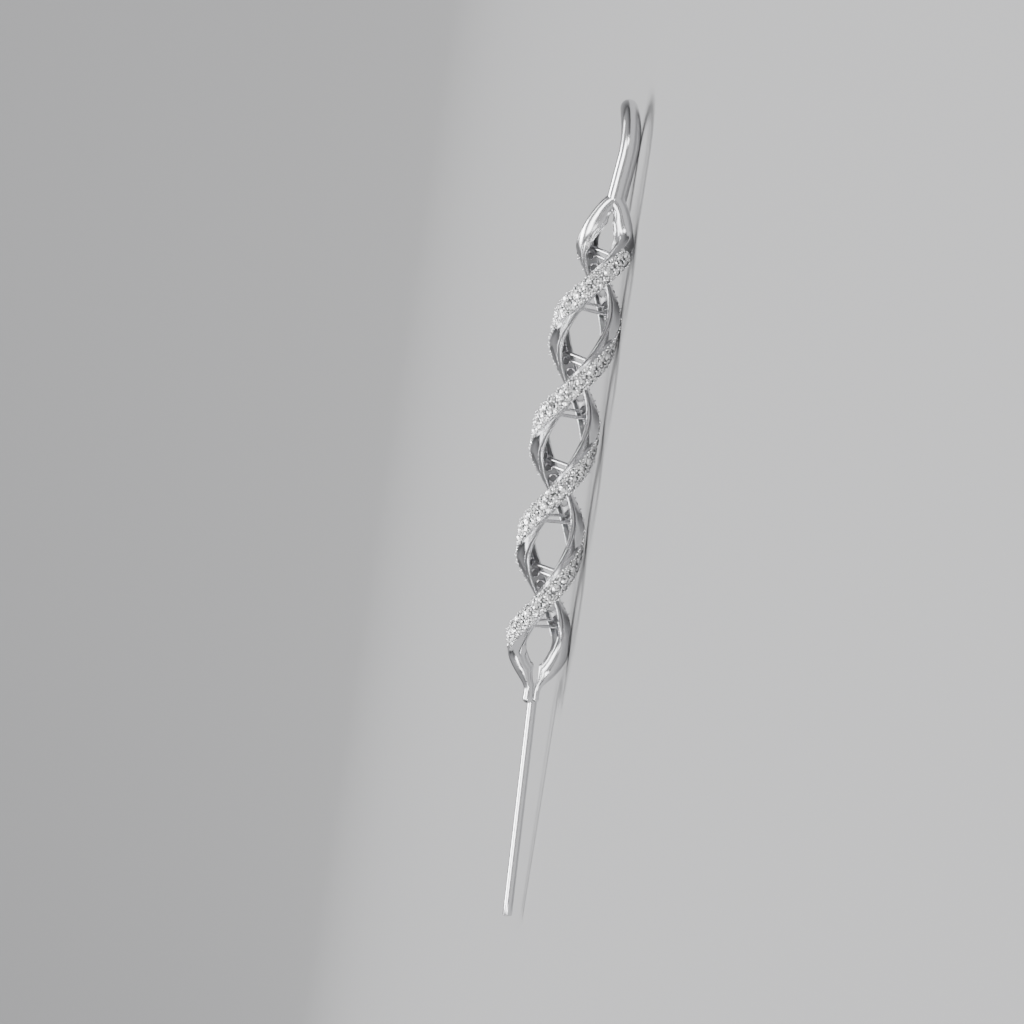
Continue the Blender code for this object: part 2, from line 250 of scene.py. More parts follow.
worn_post = post_route(POST_STEPS)
lying = [Vector(mounts[name]["pos_m"]) for name in ("post_end", "hook_end")]
lying_arm = Vector(mounts["post_end"]["axis"])
worn_arm = (worn_post[-1] - worn_post[-2]).normalized()
worn_turn = three_directions(worn_post[-1], hook_end, worn_arm)
turned = three_directions(lying[0], lying[1], lying_arm) @ worn_turn.transposed()
worn = Matrix.Translation(lying[0] - turned @ worn_post[-1]) @ turned.to_4x4()
print("hook end is off by mm:", round((worn @ hook_end - lying[1]).length / MM, 4))

# %% [markdown]
# ## Metal finishes
#
# One metal, four ways of finishing it. The strands and wires are polished by hand, which leaves
# a very faint waviness, and some of their faces are painted darker as shade. The setting is cut
# with a bright graver, and its dark colour is painted shade, the shade between the stones. The
# grains are burnished, and the dark discs in the drilled holes are painted shadow. Each is a
# fully metallic Principled shader whose roughness varies a little with a noise on Object
# coordinates. Image textures could show the same, but they would need unwrapping, and these hold
# at any distance. First come three short helpers, so that shader maths reads like maths.


# %% Shader maths
class Sum:
    """A shader socket that can be added and multiplied like a number."""

    def __init__(self, tree, socket):
        self.tree, self.socket = tree, socket

    def _with(self, other, operation, swapped=False):
        node = self.tree.nodes.new("ShaderNodeMath")
        node.operation = operation
        sides = (other, self) if swapped else (self, other)
        for slot, side in zip(node.inputs, sides):
            if isinstance(side, Sum):
                self.tree.links.new(side.socket, slot)
            else:
                slot.default_value = side
        return Sum(self.tree, node.outputs[0])

    def __add__(self, other):
        return self._with(other, "ADD")

    def __radd__(self, other):
        return self._with(other, "ADD", True)

    def __sub__(self, other):
        return self._with(other, "SUBTRACT")

    def __rsub__(self, other):
        return self._with(other, "SUBTRACT", True)

    def __mul__(self, other):
        return self._with(other, "MULTIPLY")

    def __rmul__(self, other):
        return self._with(other, "MULTIPLY", True)


class Nodes:
    """A node tree with short ways to add to it."""

    def __init__(self, tree):
        self.tree = tree

    def set(self, node, values):
        for key, value in values.items():
            if isinstance(value, Sum):
                self.tree.links.new(value.socket, node.inputs[key])
            elif isinstance(value, bpy.types.NodeSocket):
                self.tree.links.new(value, node.inputs[key])
            else:
                node.inputs[key].default_value = value

    def node(self, kind, settings=None, values=None):
        made = self.tree.nodes.new(kind)
        for key, value in (settings or {}).items():
            setattr(made, key, value)
        self.set(made, values or {})
        return made

    def mix(self, factor, low, high):
        """A colour between two others; 0, 6 and 7 are the sockets of Mix for colours."""
        values = {0: factor, 6: (*low, 1), 7: (*high, 1)}
        return self.node("ShaderNodeMix", {"data_type": "RGBA"}, values).outputs[2]


class Finish(Nodes):
    """One material: its Principled shader and what goes before it."""

    def __init__(self, name, colour, metallic, roughness=0.5):
        self.material = bpy.data.materials.new(name)
        self.material.use_nodes = True
        super().__init__(self.material.node_tree)
        self.shader = self.tree.nodes["Principled BSDF"]
        values = {"Base Color": (*colour, 1), "Roughness": roughness, "Metallic": metallic}
        self.set(self.shader, values)
        print("finish:", name)

    def noise(self, scale, detail=2.0):
        place = self.node("ShaderNodeTexCoord").outputs["Object"]
        values = {"Vector": place, "Scale": scale, "Detail": detail}
        return Sum(self.tree, self.node("ShaderNodeTexNoise", values=values).outputs["Fac"])

    def attribute(self, name):
        made = self.node("ShaderNodeAttribute", {"attribute_name": name})
        return Sum(self.tree, made.outputs["Fac"])

    def bump(self, height, strength, distance):
        values = {"Strength": strength, "Distance": distance, "Height": height}
        made = self.node("ShaderNodeBump", values=values)
        self.set(self.shader, {"Normal": made.outputs["Normal"]})


# %% Polished metal, setting metal, grains and painted hole shadows
POLISH, SHADOW = (0.68, 0.68, 0.69), (0.15, 0.15, 0.155)
WAVES, GRAVER_MARKS, FINE_MARKS = 420, 1800, 2500

polished = Finish("polished_white_metal", POLISH, 1.0)
# The attribute "shade" paints shade into the polish: darker and rougher on the channel's floor and
# the fine lines.
shade = polished.attribute("shade")
roughness = 0.15 + polished.noise(900) * 0.08 + shade * 0.2
colour = polished.mix(shade, POLISH, SHADOW)
polished.set(polished.shader, {"Roughness": roughness, "Base Color": colour})
polished.bump(polished.noise(WAVES, 3.0), 0.2, 0.01 * MM)

# The setting's dark colour is painted shade, the shade that falls between the stones.
setting = Finish("setting_painted_shade", (0.3, 0.3, 0.305), 1.0)
setting.set(setting.shader, {"Roughness": 0.3 + setting.noise(FINE_MARKS) * 0.3})
setting.bump(setting.noise(GRAVER_MARKS, 3.0), 0.35, 0.02 * MM)

grain = Finish("grain_metal", (0.92, 0.92, 0.93), 1.0)
grain.set(grain.shader, {"Roughness": 0.07 + grain.noise(FINE_MARKS) * 0.1})

# A dark disc in each drilled hole is painted shadow, where the hole would lie in shade.
hole_shadow = Finish("painted_hole_shadow", (0.24, 0.24, 0.245), 1.0)
hole_shadow.set(hole_shadow.shader, {"Roughness": 0.35 + hole_shadow.noise(FINE_MARKS) * 0.3})

# %% [markdown]
# ## Clear stone
#
# A cut stone bends light many times before it comes out, and one this small shows a handful of
# bright and dark patches that jump from facet to facet. A glass shader could be used, but it
# needs many light bounces for the same sparkle. Here each facet is a small mirror whose colour
# holds painted light: a painted brightness for its kind of facet, and luck, drawn again for each
# facet of each stone, moves it up or down into painted glints and dark patches.

# %% Clear stone
# Colours of the painted dark patches and painted glints; luck moves each facet's painted brightness
# up or down.
DARK_FACET, BRIGHT_FACET = (0.01, 0.011, 0.013), (1.0, 1.0, 1.0)
PAINTED_LIGHT_LIFT, LUCK_SPREAD = 0.15, 1.3
FACET_STRIDE, STONE_STRIDE = 7.31, 93.7

stone = Finish("clear_stone", BRIGHT_FACET, 0.55, 0.04)
seed = stone.attribute("facet") * FACET_STRIDE + stone.attribute("chance") * STONE_STRIDE
drawn = stone.node("ShaderNodeTexWhiteNoise", {"noise_dimensions": "1D"}, {"W": seed})
luck = Sum(stone.tree, drawn.outputs["Value"])
# Painted glint or dark patch: the facet's painted brightness, moved by luck.
glint = stone.attribute("painted_facet_light") + PAINTED_LIGHT_LIFT + (luck - 0.5) * LUCK_SPREAD
kept = stone.node("ShaderNodeClamp", values={"Value": glint})
clipped = Sum(stone.tree, kept.outputs["Result"])
colour = stone.mix(clipped * clipped, DARK_FACET, BRIGHT_FACET)
stone.set(stone.shader, {"Base Color": colour})

# %% [markdown]
# ## Making the pieces
#
# Each piece is one mesh in the place where it rests, and its object stays at the origin. A loft
# joins rings of points into a closed skin: it is what a curve with a bevel object does, but it
# lets the section change on the way.


# %% Helpers for meshes
def finish_mesh(name, bm, smooth_angle):
    """Turn a drawing into a mesh with its faces outwards and its sharp edges kept."""
    bmesh.ops.recalc_face_normals(bm, faces=bm.faces)
    mesh = bpy.data.meshes.new(name)
    bm.to_mesh(mesh)
    bm.free()
    mesh.shade_smooth()
    mesh.set_sharp_from_angle(angle=math.radians(smooth_angle))
    return mesh


def add_piece(name, bm, material, nodes, smooth_angle=30):
    """Put a mesh drawn in the worn frame on the resting cuff, for its construction nodes."""
    bmesh.ops.transform(bm, matrix=worn, verts=bm.verts)
    piece = bpy.data.objects.new(name, finish_mesh(name, bm, smooth_angle))
    return dress(piece, material, nodes)


def dress(piece, material, nodes):
    bpy.context.scene.collection.objects.link(piece)
    piece.data.materials.clear()
    piece.data.materials.append(material)
    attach(piece, "root")
    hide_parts(*nodes)
    print(piece.name, len(piece.data.polygons), "faces")
    return piece


def loft(bm, rings):
    made = [[bm.verts.new(point) for point in ring] for ring in rings]
    for lower, upper in zip(made, made[1:]):
        for i in range(len(lower)):
            j = (i + 1) % len(lower)
            bm.faces.new((lower[i], lower[j], upper[j], upper[i]))
    bm.faces.new(made[0][::-1])
    bm.faces.new(made[-1])


def tube_rings(route, radii, sides):
    """Rings round a route that stay square to it and don't twist."""
    rings, across = [], Vector((1, 0, 0))
    turns = [2 * math.pi * k / sides for k in range(sides)]
    for i, (point, radius) in enumerate(zip(route, radii)):
        ahead = route[min(i + 1, len(route) - 1)] - route[max(i - 1, 0)]
        ahead.normalize()
        across = (across - ahead * across.dot(ahead)).normalized()
        aside = ahead.cross(across)
        rings.append([point + (across * math.cos(t) + aside * math.sin(t)) * radius for t in turns])
    return rings


def evenly(start, end, count):
    return [start + (end - start) * i / count for i in range(count + 1)]


# %% [markdown]
# ## The two strands
#
# The section of a strand is a channel that opens towards the axis, with polished rails, bellied
# walls that carry one fine line beside each rail, and a shallow recess outside for the setting.
# Beyond the stones it turns into a round bar. A Bevel modifier could round the corners, as hand
# polishing leaves them, but the section changes all along the strand, so each corner is drawn as
# a small arc. Some faces keep an attribute "shade", which darkens the polish as painted shade: on
# the channel's floor, and along each fine line, a real groove that is painted darker still.


# %% Section of a strand
RIM_WIDTH, RIM_FALL, SLOPE = 0.14 * MM, 0.08 * MM, 0.05 * MM
RAIL_WIDTH, RAIL_EDGE = 0.32 * MM, 0.06 * MM
RECESS, GROOVE, GROOVE_RATE, LEAST_DEPTH = 0.2 * MM, 0.52 * MM, 2, 0.004 * MM
BELLY, LINE_DEPTH = 0.14 * MM, 0.1 * MM
WALL = ((0.6, 0), (0.35, 0), (0.1, 0), (-0.15, 0), (-0.35, 0), (-0.5, LINE_DEPTH), (-0.65, 0))
TUBE_TURN, FULLNESS = math.radians(140), 0.9
EDGE_ROUNDING, EDGE_LIMIT, EDGE_STEPS = 0.07 * MM, 0.45, 3


def rounded(corners):
    """Replace each corner of a closed outline by a small arc."""
    outline = []
    for i, corner in enumerate(corners):
        before, after = corners[i - 1], corners[(i + 1) % len(corners)]
        cut_in = min(EDGE_ROUNDING, (before - corner).length * EDGE_LIMIT)
        cut_out = min(EDGE_ROUNDING, (after - corner).length * EDGE_LIMIT)
        first = corner + (before - corner).normalized() * cut_in
        last = corner + (after - corner).normalized() * cut_out
        for k in range(EDGE_STEPS + 1):
            t = k / EDGE_STEPS
            outline.append(first * (1 - t) ** 2 + corner * (2 * t * (1 - t)) + last * t ** 2)
    return outline


def fuller(share):
    """Push a share of a circle outwards, so that the round section keeps fuller corners."""
    return math.copysign(abs(share) ** FULLNESS, share)


def strand_section(height, turn):
    """Outline of a strand in (outward, sideways) points."""
    plain, opening = plain_share(height), opening_share(height)
    band = band_share(height, turn, CHANNEL_FADE)
    wide, inner = half_width(height), inner_reach(height)
    rim, rail = wide - RIM_WIDTH, wide - RAIL_WIDTH
    recess = RECESS * band_share(height, turn, RECESS_FADE) + LEAST_DEPTH
    groove = GROOVE * (1 - plain) * smooth_step(GROOVE_RATE * opening) + LEAST_DEPTH
    channel = [(DEEP - recess, 0), (DEEP - recess, rim - SLOPE)]
    channel += [(DEEP, rim), (DEEP, wide - RIM_FALL)]
    channel += [(DEEP * share, wide - BELLY * share * share - cut) for share, cut in WALL]
    channel += [(RAIL_EDGE - inner, wide - BELLY), (-inner, wide - RAIL_EDGE - BELLY)]
    middle, reach = (DEEP - inner) / 2, (DEEP + inner) / 2
    turns = evenly(0, TUBE_TURN, len(channel) - 1)
    tube = [(middle + reach * fuller(math.cos(t)), wide * fuller(math.sin(t))) for t in turns]
    half = [Vector(b).lerp(Vector(a), band) for a, b in zip(channel, tube)]
    half += [Vector((-inner, rail)), Vector((groove - inner, rail - SLOPE))]
    outline = rounded(half + [Vector((corner.x, -corner.y)) for corner in reversed(half[1:])])
    end_radius = TOP_END_RADIUS
    if height < FIRST_LOBE:
        end_radius = RIGHT_END_RADIUS if turn == 0 else LEFT_END_RADIUS
    section = []
    for point in outline:
        angle = math.atan2(point.y, point.x)
        circle = Vector((math.cos(angle), math.sin(angle))) * end_radius
        section.append(point.lerp(circle, plain))
    return section


print("points round a section:", len(strand_section(LAST_LOBE, 0)))

# %% Strands
STRAND_STATIONS = 330
# Half a section has 15 corners, counted from 0 in the middle of the outer face. The fine line
# is at corner 9.
CORNER_POINTS, HALF_CORNERS, LINE_CORNER = EDGE_STEPS + 1, 15, 9
INSIDE_COLUMN, INSIDE_REACH = CORNER_POINTS * HALF_CORNERS - 1, CORNER_POINTS + 2
LINE_COLUMNS = [CORNER_POINTS * k + 1 for k in (LINE_CORNER, 2 * HALF_CORNERS - 1 - LINE_CORNER)]
LINE_REACH = 2
INSIDE_SHADE, LEAST_LINE_SHADE, BAND_LINE_SHADE = 0.54, 0.3, 0.6


def shade_at(column, height, turn):
    """How much painted shade a face holds: the channel's floor and the line beside each rail get
    it.
    """
    if abs(column - INSIDE_COLUMN) <= INSIDE_REACH:
        return INSIDE_SHADE
    if min(abs(column - line) for line in LINE_COLUMNS) <= LINE_REACH:
        return LEAST_LINE_SHADE + BAND_LINE_SHADE * band_share(height, turn, CHANNEL_FADE)
    return 0.0


for letter, turn in STRANDS:
    bm = bmesh.new()
    rings = []
    heights = evenly(LUG_HEIGHT, BODY_HEIGHT, STRAND_STATIONS)
    for height in heights:
        centre, outward, sideways, _ = strand_frame(height, turn)
        section = strand_section(height, turn)
        rings.append([centre + outward * point.x + sideways * point.y for point in section])
    # Each face keeps its painted shade, which darkens the polish.
    shades = bm.faces.layers.float.new("shade")
    loft(bm, rings)
    for k, face in enumerate(bm.faces):
        row, column = divmod(k, len(rings[0]))
        face[shades] = shade_at(column, heights[row], turn)
    add_piece(f"strand_{letter}", bm, polished.material, ["cuff_frame"], smooth_angle=60)

# %% [markdown]
# ## Hook, post and lugs
#
# The hook and the post are drawn wire with a filed end. The hook's wire starts thin inside the
# fork, so that it grows out of the two strands. A Bezier curve with a round bevel would do for
# plain wire, but its radius is easier to steer ring by ring. A small ball closes each strand at
# the bottom.

# %% Hook wire, lobe post and lugs
END_ROUNDING, END_SHARE = 0.1 * MM, 0.3
START_STEPS, BEND_STEPS, LEG_STEPS, WIRE_SIDES = 8, 96, 12, 48
POST_BEND_STEPS, POST_LENGTHS, POST_SIDES = 16, 16, 32
LUG_SEGMENTS, LUG_RINGS = 32, 20


def add_wire(name, route, radii, sides):
    """A round wire along a route, with its far end softened."""
    tip = (route[-1] - route[-2]).normalized() * END_ROUNDING
    route = route[:-1] + [route[-1] - tip, route[-1] - tip * END_SHARE, route[-1]]
    radii = radii + [radii[-1] - END_ROUNDING * END_SHARE, radii[-1] - END_ROUNDING]
    bm = bmesh.new()
    loft(bm, tube_rings(route, radii, sides))
    add_piece(name, bm, polished.material, ["cuff_frame"])


route = hook_route(BEND_STEPS)
leg = evenly(route[-1], hook_end, LEG_STEPS)[1:]
route = evenly(route[0], route[1], START_STEPS)[:-1] + route[1:] + leg
growth = [smooth_step(k / START_STEPS) for k in range(START_STEPS)]
growing = [WIRE_RADIUS * (WIRE_START_SHARE + (1 - WIRE_START_SHARE) * share) for share in growth]
radii = growing + [WIRE_RADIUS] * (len(route) - len(growing))
add_wire("hook_wire", route, radii, WIRE_SIDES)

route = post_route(POST_BEND_STEPS)
route = route[:-1] + evenly(route[-2], route[-1], POST_LENGTHS)[1:]
add_wire("lobe_post", route, [POST_RADIUS] * len(route), POST_SIDES)

for (letter, turn), radius in zip(STRANDS, LUG_RADII):
    bm = bmesh.new()
    bmesh.ops.create_uvsphere(bm, u_segments=LUG_SEGMENTS, v_segments=LUG_RINGS, radius=radius)
    bmesh.ops.translate(bm, verts=bm.verts, vec=strand_centre(LUG_HEIGHT, turn))
    add_piece(f"lug_{letter}", bm, polished.material, ["cuff_frame"])

# %% [markdown]
# ## Repeated parts
#
# Bars, stones, grains and drilled holes all follow one recipe: a list of places, each with a
# direction and a size, and one small shape set out on them. Copies could be made in a Python
# loop, but Geometry Nodes do it with one tree, so one change of its inputs changes them all. The
# tree also draws a number for each copy, "chance", which the stones' finish reads.


# %% Node tree that sets a shape out on places
def setting_out_tree():
    tree = bpy.data.node_groups.new("set_out", "GeometryNodeTree")
    face = tree.interface
    inputs = (
        ("Places", "Geometry"),
        ("Shape", "Object"),
        ("Scale", "Float"),
        ("Size spread", "Float"),
        ("Seed", "Int"),
        ("Finish", "Material"),
    )
    for name, kind in inputs:
        face.new_socket(name, in_out="INPUT", socket_type=f"NodeSocket{kind}")
    face.new_socket("Pieces", in_out="OUTPUT", socket_type="NodeSocketGeometry")
    add, join = tree.nodes.new, tree.links.new
    given, result = add("NodeGroupInput"), add("NodeGroupOutput")

    def attribute(name):
        node = add("GeometryNodeInputNamedAttribute")
        node.data_type = "FLOAT_VECTOR"
        node.inputs["Name"].default_value = name
        return node.outputs["Attribute"]

    def random_number():
        node = add("FunctionNodeRandomValue")
        node.data_type = "FLOAT"
        join(given.outputs["Seed"], node.inputs["Seed"])
        return node

    turn = add("FunctionNodeAxesToRotation")
    turn.primary_axis, turn.secondary_axis = "Z", "X"
    join(attribute("outward"), turn.inputs["Primary Axis"])
    join(attribute("along"), turn.inputs["Secondary Axis"])
    shape = add("GeometryNodeObjectInfo")
    join(given.outputs["Shape"], shape.inputs["Object"])
    vary = random_number()
    vary.inputs["Min"].default_value = -1.0
    spread = add("ShaderNodeMath")
    spread.operation = "MULTIPLY_ADD"
    join(vary.outputs["Value"], spread.inputs[0])
    join(given.outputs["Size spread"], spread.inputs[1])
    spread.inputs[2].default_value = 1.0
    scaled = add("ShaderNodeMath")
    scaled.operation = "MULTIPLY"
    join(spread.outputs[0], scaled.inputs[0])
    join(given.outputs["Scale"], scaled.inputs[1])
    size = add("ShaderNodeVectorMath")
    size.operation = "SCALE"
    join(attribute("size"), size.inputs[0])
    join(scaled.outputs[0], size.inputs["Scale"])
    place = add("GeometryNodeInstanceOnPoints")
    join(given.outputs["Places"], place.inputs["Points"])
    join(shape.outputs["Geometry"], place.inputs["Instance"])
    join(turn.outputs["Rotation"], place.inputs["Rotation"])
    join(size.outputs["Vector"], place.inputs["Scale"])
    luck = random_number()
    keep = add("GeometryNodeStoreNamedAttribute")
    keep.data_type, keep.domain = "FLOAT", "INSTANCE"
    keep.inputs["Name"].default_value = "chance"
    join(place.outputs["Instances"], keep.inputs["Geometry"])
    join(luck.outputs["Value"], keep.inputs["Value"])
    real, paint = add("GeometryNodeRealizeInstances"), add("GeometryNodeSetMaterial")
    join(keep.outputs["Geometry"], real.inputs["Geometry"])
    join(real.outputs["Geometry"], paint.inputs["Geometry"])
    join(given.outputs["Finish"], paint.inputs["Material"])
    join(paint.outputs["Geometry"], result.inputs["Pieces"])
    return tree


SET_OUT = setting_out_tree()
items = SET_OUT.interface.items_tree
sockets = {item.name: item.identifier for item in items if item.in_out == "INPUT"}
print("inputs of the tree:", ", ".join(sockets))


# %% Using the tree
def set_out(name, places, shape, material, nodes, spread=0.0, seed=1):
    """Make one piece of a shape on every place: (point, outward, along, size)."""
    mesh = bpy.data.meshes.new(name)
    mesh.from_pydata([worn @ place[0] for place in places], [], [])
    vectors = {
        "outward": [turned @ place[1] for place in places],
        "along": [turned @ place[2] for place in places],
        "size": [place[3] for place in places],
    }
    for key, values in vectors.items():
        store = mesh.attributes.new(key, "FLOAT_VECTOR", "POINT")
        store.data.foreach_set("vector", [number for value in values for number in value])
    seeds = bpy.data.objects.new(f"{name}_places", mesh)
    bpy.context.scene.collection.objects.link(seeds)
    modifier = seeds.modifiers.new("set_out", "NODES")
    modifier.node_group = SET_OUT
    given = {"Shape": shape, "Scale": 1.0, "Size spread": spread, "Seed": seed, "Finish": material}
    for key, value in given.items():
        modifier[sockets[key]] = value
    graph = bpy.context.evaluated_depsgraph_get()
    made = bpy.data.meshes.new_from_object(seeds.evaluated_get(graph))
    bpy.data.objects.remove(seeds)
    made.name = name
    for key in vectors:
        if key in made.attributes:
            made.attributes.remove(made.attributes[key])
    return dress(bpy.data.objects.new(name, made), material, nodes)


def template(name, bm, smooth_angle=30):
    """A shape that is only set out, never shown by itself."""
    return bpy.data.objects.new(name, finish_mesh(name, bm, smooth_angle))


# %% [markdown]
# ## Cross bars
#
# Thin double bars hold the two strands apart above and below each crossing. They are the same
# rod at sixteen places, so they are set out. Each bar's size holds its own length, which reaches
# from one channel floor to the other.

# %% Cross bars
ROD_SIDES = 20
bm = bmesh.new()
bmesh.ops.create_cone(bm, cap_ends=True, segments=ROD_SIDES, radius1=1, radius2=1, depth=1)
rod = template("rod", bm)

bar_places = []
for i in range(LOBE_GAPS):
    crossing = FIRST_LOBE + (i + 0.5) * HALF_PITCH
    for side in (-1, 1):
        for distance in (BAR_DISTANCE, BAR_DISTANCE - BAR_SPACING):
            height = crossing + side * distance
            reach = centre_radius(height) - DEEP + GROOVE + BAR_SEAT
            across = radial(height, 0)
            across.z -= math.tan(BAR_TILT) * across.x
            radius = BAR_RADIUS if distance == BAR_DISTANCE else INNER_BAR_SHARE * BAR_RADIUS
            size = (radius, radius, 2 * reach)
            bar_places.append((axis_point(height), across.normalized(), BACK, size))
set_out("cross_bars", bar_places, rod, polished.material, ["cuff_frame"])

# %% [markdown]
# ## Stones and their setting
#
# A bigger stone sits about every 1.15 mm along the middle. Two smaller ones go with it on each
# side, pushed outwards beside the big stone and drawn in between two of them, so the edges of
# the band swell and shrink. All rows share one way of dividing the band, so they keep in step.

# %% Places along a band
STONE_FACE = DEEP
CENTRE_STEP = 1.15 * MM
BAND_SAMPLES = 600


def evenly_along(turn, lift, margin, parts=1):
    """Heights that cut a band into steps of one centre stone, each in equal parts."""
    start, end = band_ends(turn)
    heights = evenly(start + margin, end - margin, BAND_SAMPLES)
    points = []
    for height in heights:
        centre, outward, _, _ = strand_frame(height, turn)
        points.append(centre + outward * lift)
    runs = [0.0]
    for first, second in zip(points, points[1:]):
        runs.append(runs[-1] + (second - first).length)
    count = parts * max(1, round(runs[-1] / CENTRE_STEP))
    chosen, k = [], 0
    for i in range(count + 1):
        target = runs[-1] * i / count
        while k < len(runs) - 2 and runs[k + 1] < target:
            k += 1
        share = (target - runs[k]) / (runs[k + 1] - runs[k])
        chosen.append(heights[k] + (heights[k + 1] - heights[k]) * share)
    return chosen


def on_band(height, turn, side, lift, tilt=0.0):
    """A place on the band's face: point, outward direction leaning sideways, and along."""
    centre, outward, sideways, along = strand_frame(height, turn)
    leaning = (outward * math.cos(tilt) + sideways * math.sin(tilt)).normalized()
    return centre + outward * lift + sideways * side, leaning, along


# %% [markdown]
# ## The seats
#
# Under the stones lies the metal that a setter cuts them into. It is a slightly domed strip in
# the strand's recess. Cutting a hole for each stone with a Boolean would be truer, but nothing of
# it would show under stones that nearly touch, so the strip stays whole.

# %% Seats: the strip of metal that holds the stones
SEAT_DEPTH, SEAT_DOME, SEAT_GAP = 0.12 * MM, 0.07 * MM, 0.01 * MM
SEAT_STATIONS, SEAT_HALF_STEPS = 260, 4

for letter, turn in STRANDS:
    start, end = band_ends(turn)
    bm = bmesh.new()
    rings = []
    for height in evenly(start, end, SEAT_STATIONS):
        centre, outward, sideways, _ = strand_frame(height, turn)
        half = half_width(height) - RIM_WIDTH - SLOPE - SEAT_GAP
        section = []
        for k in range(SEAT_HALF_STEPS, -SEAT_HALF_STEPS - 1, -1):
            share = k / SEAT_HALF_STEPS
            section.append((STONE_FACE - SEAT_DEPTH + SEAT_DOME * (1 - share ** 2), half * share))
        section += [(DEEP - RECESS + SEAT_GAP, -half), (DEEP - RECESS + SEAT_GAP, half)]
        rings.append([centre + outward * out + sideways * side for out, side in section])
    loft(bm, rings)
    # The seat's dark finish is painted shade between the stones.
    add_piece(f"seat_{letter}", bm, setting.material, [f"pave_band_{letter}"])


# %% [markdown]
# ## A cut stone
#
# The stones are round brilliants: a flat table, a ring of crown facets, a thin girdle and a
# pointed pavilion. The facets are few and flat, so the mesh is drawn face by face. Inside the
# table a small sunk heart stands for the bright reflection that a real table shows, and it is
# painted brightest, a painted reflection. Every face stores its painted brightness and its own
# number for the stone's finish.


# %% A cut stone, one unit across
HEART_RADIUS, TABLE_RADIUS, GIRDLE_RADIUS = 0.13, 0.28, 0.5
HEART_DIP, TABLE_HEIGHT, GIRDLE_LOW, CULET = 0.115, 0.17, -0.04, -0.42
# Painted light of each kind of facet: bright ones are painted reflections, dark ones painted shade.
HEART, TABLE, STAR, CROWN, GIRDLE, PAVILION = 1.0, 0.5, 0.85, 0.6, 0.1, 0.3


def brilliant():
    """Table in 16 fields, 24 crown facets, girdle and 16 pavilion facets."""
    bm = bmesh.new()
    painted_light_layer = bm.faces.layers.float.new("painted_facet_light")
    facets = bm.faces.layers.float.new("facet")

    def ring(count, radius, height, offset):
        angles = [2 * math.pi * (i + offset) / count for i in range(count)]
        return [bm.verts.new((radius * math.cos(t), radius * math.sin(t), height)) for t in angles]

    def face(corners, painted_facet_light):
        made = bm.faces.new(corners)
        made[painted_light_layer], made[facets] = painted_facet_light, len(bm.faces)

    middle = bm.verts.new((0, 0, HEART_DIP))
    heart = ring(8, HEART_RADIUS, TABLE_HEIGHT, 0.5)
    table = ring(8, TABLE_RADIUS, TABLE_HEIGHT, 0.5)
    upper = ring(16, GIRDLE_RADIUS, 0.0, 0.0)
    lower = ring(16, GIRDLE_RADIUS, GIRDLE_LOW, 0.0)
    culet = bm.verts.new((0, 0, CULET))
    for i in range(8):
        left, right = table[i - 1], table[i]
        mid, low, high = upper[2 * i], upper[2 * i - 1], upper[(2 * i + 1) % 16]
        face((middle, heart[i - 1], heart[i]), HEART)
        face((heart[i - 1], left, right, heart[i]), TABLE)
        face((left, right, mid), STAR)
        face((right, high, mid), CROWN)
        face((left, mid, low), CROWN)
    for i in range(16):
        j = (i + 1) % 16
        face((upper[i], upper[j], lower[j], lower[i]), GIRDLE)
        face((lower[i], lower[j], culet), PAVILION)
    return template("brilliant", bm, smooth_angle=1)


cut_stone = brilliant()
print("facets of a stone:", len(cut_stone.data.polygons))

# %% [markdown]
# ## Setting the stones
#
# The middle row stands highest, and the side stones lean outwards a little, as they do on a
# strand that is polished round. Each stone could be placed by hand, but rows that follow the
# helix keep their order. Sizes vary by up to 4 %, because a setter picks stones by eye.

# %% Setting the stones
CENTRE_STONE, SIDE_STONE = 0.82 * MM, 0.56 * MM
CENTRE_LIFT, SIDE_TILT = 0.14 * MM, math.radians(16)
FAR, FAR_LIFT = 0.6 * MM, 0.05 * MM
NEAR, NEAR_LIFT = 0.44 * MM, 0.1 * MM
STONE_SPREAD, STONE_SEED = 0.04, 7

for letter, turn in STRANDS:
    places = []
    for height in evenly_along(turn, STONE_FACE, BAND_MARGIN):
        place = on_band(height, turn, 0, STONE_FACE + CENTRE_LIFT)
        places.append((*place, [CENTRE_STONE] * 3))
    for side in (-1, 1):
        for i, height in enumerate(evenly_along(turn, STONE_FACE, BAND_MARGIN, 2)):
            away, lift = (FAR, FAR_LIFT) if i % 2 == 0 else (NEAR, NEAR_LIFT)
            place = on_band(height, turn, side * away, STONE_FACE + lift, side * SIDE_TILT)
            places.append((*place, [SIDE_STONE] * 3))
    set_out(
        f"stones_{letter}",
        places,
        cut_stone,
        stone.material,
        [f"pave_band_{letter}"],
        STONE_SPREAD,
        STONE_SEED,
    )

# %% [markdown]
# ## Grains
#
# Each stone is held by small grains of metal that the setter raises with a graver and rounds
# off. They fill the gaps between the stones and catch points of light. A ball of few faces is
# enough for something this small, and it is set out at quarter steps of the middle row.

# %% Grains of metal that hold the stones
GRAIN_LIFT, GRAIN_SPREAD, GRAIN_SEED = 0.1 * MM, 0.15, 3
# Pairs of the distance from the middle line and the radius, in mm.
GRAINS_BETWEEN = ((0.15, 0.13), (-0.15, 0.13), (0.84, 0.09), (-0.84, 0.09))
GRAINS_BESIDE = ((0.72, 0.09), (-0.72, 0.09), (0.38, 0.1), (-0.38, 0.1))
GRAIN_ROUND = ((), GRAINS_BESIDE, GRAINS_BETWEEN, GRAINS_BESIDE)

